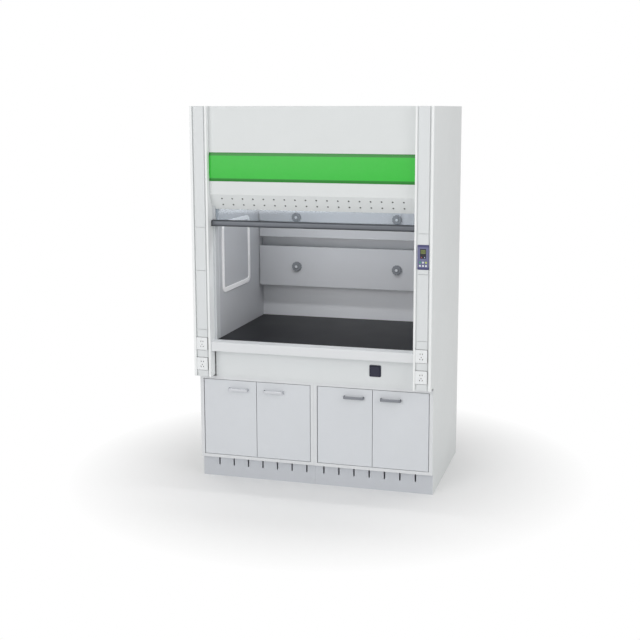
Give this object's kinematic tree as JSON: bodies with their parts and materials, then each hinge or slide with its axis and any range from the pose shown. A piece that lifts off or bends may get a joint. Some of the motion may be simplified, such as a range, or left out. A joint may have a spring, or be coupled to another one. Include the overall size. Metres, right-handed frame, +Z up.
{
  "type": "fume hood",
  "caption": "Ducted laboratory fume hood with a counterbalanced double sash, lined chamber, control panel, sockets, and base cabinets with hinged doors.",
  "frame": {"origin": "middle of the footprint, on the floor", "axes": "+Z up; -Y is the front, where the sash opens; +X is the user's right, the side of the control panel"},
  "size_m": [1.5, 1, 2.35],
  "materials": {
    "casing_white": "satin powder coat",
    "post_white": "satin powder coat",
    "sill_white": "satin powder coat",
    "band_green": "satin moulding",
    "socket_white": "gloss moulding",
    "control_grey": "fine matt moulding",
    "display_dark": "clear window over a dark display",
    "button_white": "soft moulding",
    "button_green": "soft moulding",
    "button_lime": "soft moulding",
    "track_aluminium": "satin anodised",
    "handle_dark": "dark satin anodised",
    "sash_glass": "clear toughened glass",
    "liner_grey": "smooth phenolic board",
    "access_seal": "smooth board with a raised seal",
    "standoff_grey": "moulded",
    "knob_grey": "moulded",
    "lamp_white": "opal window and white housing",
    "collar_steel": "coated steel",
    "worktop_black": "glossy cast resin",
    "switch_navy": "gloss moulding",
    "support_steel": "powder coat",
    "cabinet_board": "laminated board",
    "door_board": "laminated board",
    "pin_steel": "bright steel",
    "bow_steel": "brushed",
    "plinth_board": "laminated board",
    "foot_plastic": "moulded",
    "shaft_steel": "turned",
    "rope_steel": "stranded wire",
    "weight_iron": "painted casting"
  },
  "bodies": {
    "casing": {"side_panels": "casing_white", "rear_panel": "casing_white", "upper_front_panel": "casing_white", "header_grille": "casing_white", "apron": "casing_white", "roof_plate": "casing_white", "front_posts": "post_white", "service_panels": "post_white", "sill": "sill_white", "accent_band": "band_green", "sockets": "socket_white", "control_housing": "control_grey", "control_display": "display_dark", "sash_tracks": "track_aluminium", "chamber_liners": "liner_grey", "ceiling_liner": "liner_grey", "baffles": "liner_grey", "access_panels": "access_seal", "baffle_standoffs": "standoff_grey", "ceiling_lamp": "lamp_white", "exhaust_collar": "collar_steel", "worktop": "worktop_black", "switch_frame": "switch_navy", "support_frame": "support_steel", "shaft_brackets": "support_steel", "cabinets": "cabinet_board", "shelves": "cabinet_board", "cabinet_pins": "pin_steel", "plinths": "plinth_board", "levelling_feet": "foot_plastic", "front_sash_cables": "rope_steel", "rear_sash_cables": "rope_steel", "counterweight_cables": "rope_steel"},
    "front_sash": {"front_sash_pane": "sash_glass", "front_sash_handle": "handle_dark", "front_sash_frame": "track_aluminium"},
    "rear_sash": {"rear_sash_pane": "sash_glass", "rear_sash_frame": "track_aluminium"},
    "sash_shaft": {"sash_shaft": "shaft_steel"},
    "left_counterweight": {"left_counterweight": "weight_iron"},
    "right_counterweight": {"right_counterweight": "weight_iron"},
    "switch_rocker": {"switch_rocker": "switch_navy"},
    "left_outer_door": {"left_outer_door": "door_board", "left_outer_handle": "bow_steel"},
    "left_inner_door": {"left_inner_door": "door_board", "left_inner_handle": "bow_steel"},
    "right_inner_door": {"right_inner_door": "door_board", "right_inner_handle": "bow_steel"},
    "right_outer_door": {"right_outer_door": "door_board", "right_outer_handle": "bow_steel"},
    "lower_left_knob": {"lower_left_knob": "knob_grey"},
    "lower_right_knob": {"lower_right_knob": "knob_grey"},
    "upper_left_knob": {"upper_left_knob": "knob_grey"},
    "upper_right_knob": {"upper_right_knob": "knob_grey"},
    "power_button": {"power_button": "button_green"},
    "fan_button": {"fan_button": "button_white"},
    "light_button": {"light_button": "button_lime"},
    "down_button": {"down_button": "button_white"},
    "up_button": {"up_button": "button_white"},
    "mute_button": {"mute_button": "button_white"}
  },
  "joints": [
    {"name": "door_left_outer", "type": "hinge", "parent": "casing", "child": "left_outer_door", "pos_m": [-0.718, -0.402, 0.398], "axis": [0, 0, -1], "range_deg": [0, 105]},
    {"name": "door_left_inner", "type": "hinge", "parent": "casing", "child": "left_inner_door", "pos_m": [-0.03025, -0.402, 0.398], "axis": [0, 0, 1], "range_deg": [0, 85]},
    {"name": "door_right_inner", "type": "hinge", "parent": "casing", "child": "right_inner_door", "pos_m": [0.03025, -0.402, 0.398], "axis": [0, 0, -1], "range_deg": [0, 85]},
    {"name": "door_right_outer", "type": "hinge", "parent": "casing", "child": "right_outer_door", "pos_m": [0.718, -0.402, 0.398], "axis": [0, 0, 1], "range_deg": [0, 105]},
    {"name": "front_sash", "type": "slide", "parent": "casing", "child": "front_sash", "axis": [0, 0, 1], "range_m": [-0.71, 0.06], "deforming": ["front_sash_cables"]},
    {"name": "rear_sash", "type": "slide", "parent": "casing", "child": "rear_sash", "axis": [0, 0, 1], "range_m": [-0.356, 0.031], "deforming": ["rear_sash_cables"]},
    {"name": "sash_shaft", "type": "hinge", "parent": "casing", "child": "sash_shaft", "pos_m": [0, -0.361, 2.29], "axis": [1, 0, 0], "range_deg": [-80, 926]},
    {"name": "left_counterweight", "type": "slide", "parent": "casing", "child": "left_counterweight", "axis": [0, 0, 1], "range_m": [-0.061, 0.711]},
    {"name": "right_counterweight", "type": "slide", "parent": "casing", "child": "right_counterweight", "axis": [0, 0, 1], "range_m": [-0.061, 0.711], "deforming": ["counterweight_cables"]},
    {"name": "knob_lower_left", "type": "hinge", "parent": "casing", "child": "lower_left_knob", "pos_m": [-0.35, 0.38, 1.2665], "axis": [0, 1, 0], "range_deg": [0, 360]},
    {"name": "knob_lower_right", "type": "hinge", "parent": "casing", "child": "lower_right_knob", "pos_m": [0.35, 0.38, 1.2665], "axis": [0, 1, 0], "range_deg": [0, 360]},
    {"name": "knob_upper_left", "type": "hinge", "parent": "casing", "child": "upper_left_knob", "pos_m": [-0.35, 0.38, 1.6045], "axis": [0, 1, 0], "range_deg": [0, 360]},
    {"name": "knob_upper_right", "type": "hinge", "parent": "casing", "child": "upper_right_knob", "pos_m": [0.35, 0.38, 1.6045], "axis": [0, 1, 0], "range_deg": [0, 360]},
    {"name": "push_power", "type": "slide", "parent": "casing", "child": "power_button", "axis": [0, 1, 0], "range_m": [0, 0.0015], "stiffness_N_per_m": 200, "springref_m": -0.002},
    {"name": "push_fan", "type": "slide", "parent": "casing", "child": "fan_button", "axis": [0, 1, 0], "range_m": [0, 0.0015], "stiffness_N_per_m": 200, "springref_m": -0.002},
    {"name": "push_light", "type": "slide", "parent": "casing", "child": "light_button", "axis": [0, 1, 0], "range_m": [0, 0.0015], "stiffness_N_per_m": 200, "springref_m": -0.002},
    {"name": "push_down", "type": "slide", "parent": "casing", "child": "down_button", "axis": [0, 1, 0], "range_m": [0, 0.0015], "stiffness_N_per_m": 200, "springref_m": -0.002},
    {"name": "push_up", "type": "slide", "parent": "casing", "child": "up_button", "axis": [0, 1, 0], "range_m": [0, 0.0015], "stiffness_N_per_m": 200, "springref_m": -0.002},
    {"name": "push_mute", "type": "slide", "parent": "casing", "child": "mute_button", "axis": [0, 1, 0], "range_m": [0, 0.0015], "stiffness_N_per_m": 200, "springref_m": -0.002},
    {"name": "rocker_switch", "type": "hinge", "parent": "casing", "child": "switch_rocker", "pos_m": [0.3937, -0.416, 0.765], "axis": [1, 0, 0], "range_deg": [-5, 0]}
  ],
  "couplings": [
    {"joint": "rear_sash", "follows": "front_sash", "ratio": 0.5},
    {"joint": "sash_shaft", "follows": "front_sash", "rad_per_m": -22.727},
    {"joint": "left_counterweight", "follows": "front_sash", "ratio": -1},
    {"joint": "right_counterweight", "follows": "front_sash", "ratio": -1}
  ]
}
